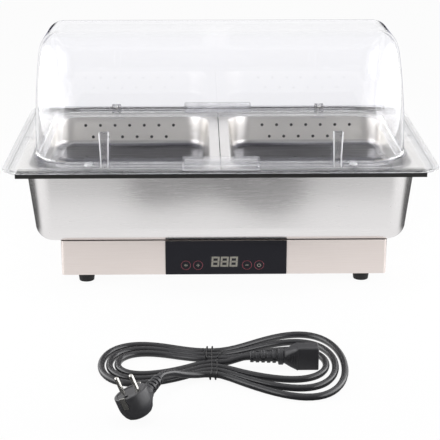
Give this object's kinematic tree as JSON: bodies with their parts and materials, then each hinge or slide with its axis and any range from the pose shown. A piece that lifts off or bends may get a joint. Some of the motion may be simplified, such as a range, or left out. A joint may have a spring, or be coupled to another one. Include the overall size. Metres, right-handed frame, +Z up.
{
  "type": "electric buffet warmer",
  "caption": "Countertop buffet warmer with a heated steel base, water pan, perforated food pans and a clear hinged hood; its mains lead lies in front.",
  "frame": {"origin": "on the table under the middle of the warmer, without its mains lead", "axes": "+X to the right, -Y to the front with the control panel, +Z up"},
  "size_m": [0.562, 0.7276, 0.316],
  "materials": {
    "warm_steel": "satin",
    "pan_steel": "satin",
    "clear_plastic": "gloss",
    "panel_black": "gloss",
    "housing_black": "matte",
    "foot_rubber": "matte",
    "seal_rubber": "matte",
    "cord_black": "satin",
    "screw_steel": "polished",
    "pin_nickel": "polished",
    "heater_aluminium": "satin",
    "element_steel": "matte",
    "board_green": "satin",
    "component_blue": "satin",
    "display_grey": "gloss",
    "sensor_brass": "satin",
    "pad_white": "matte"
  },
  "bodies": {
    "base": {"base_shell": "warm_steel", "bottom_plate": "pan_steel", "bottom_screws": "screw_steel", "foot_front_left": "foot_rubber", "foot_front_right": "foot_rubber", "foot_back_left": "foot_rubber", "foot_back_right": "foot_rubber", "foot_screws": "screw_steel", "control_panel": "panel_black", "display_module": "display_grey", "control_board": "board_green", "board_screws": "screw_steel", "board_components": "component_blue", "touch_springs": "screw_steel", "power_inlet": "housing_black", "inlet_blades": "pin_nickel", "inlet_screws": "screw_steel", "heating_plate": "heater_aluminium", "heating_element": "element_steel", "element_clamps": "pan_steel", "clamp_screws": "screw_steel", "thermal_sensor": "sensor_brass", "thermal_cutout": "housing_black", "insulation_pad": "pad_white", "connector_body": "cord_black", "connector_relief": "cord_black", "connector_lead": "cord_black", "cord_hank": "cord_black", "cord_tie": "cord_black", "plug_lead": "cord_black", "plug_relief": "cord_black", "plug_body": "cord_black", "plug_pins": "pin_nickel", "plug_earth_clips": "pin_nickel"},
    "water": {"water_pan": "pan_steel"},
    "cover": {"cover_frame": "clear_plastic", "rim_seal": "seal_rubber", "hinge_pins": "pin_nickel", "hood_rests": "clear_plastic"},
    "hood": {"hood_shell": "clear_plastic"},
    "pan_left": {"food_pan_left": "pan_steel"},
    "pan_right": {"food_pan_right": "pan_steel"}
  },
  "joints": [
    {"name": "water_pan_lift", "type": "slide", "parent": "base", "child": "water", "axis": [0, 0, 1], "range_m": [0, 0.1]},
    {"name": "cover_lift", "type": "slide", "parent": "water", "child": "cover", "axis": [0, 0, 1], "range_m": [0, 0.3]},
    {"name": "hood_hinge", "type": "hinge", "parent": "cover", "child": "hood", "pos_m": [0, 0.15, 0.1742], "axis": [-1, 0, 0], "range_deg": [0, 103]},
    {"name": "left_pan_lift", "type": "slide", "parent": "water", "child": "pan_left", "axis": [0, 0, 1], "range_m": [0, 0.12]},
    {"name": "right_pan_lift", "type": "slide", "parent": "water", "child": "pan_right", "axis": [0, 0, 1], "range_m": [0, 0.12]}
  ],
  "couplings": [
    {"joint": "left_pan_lift", "follows": "cover_lift", "ratio": 0.4},
    {"joint": "right_pan_lift", "follows": "cover_lift", "ratio": 0.4}
  ]
}
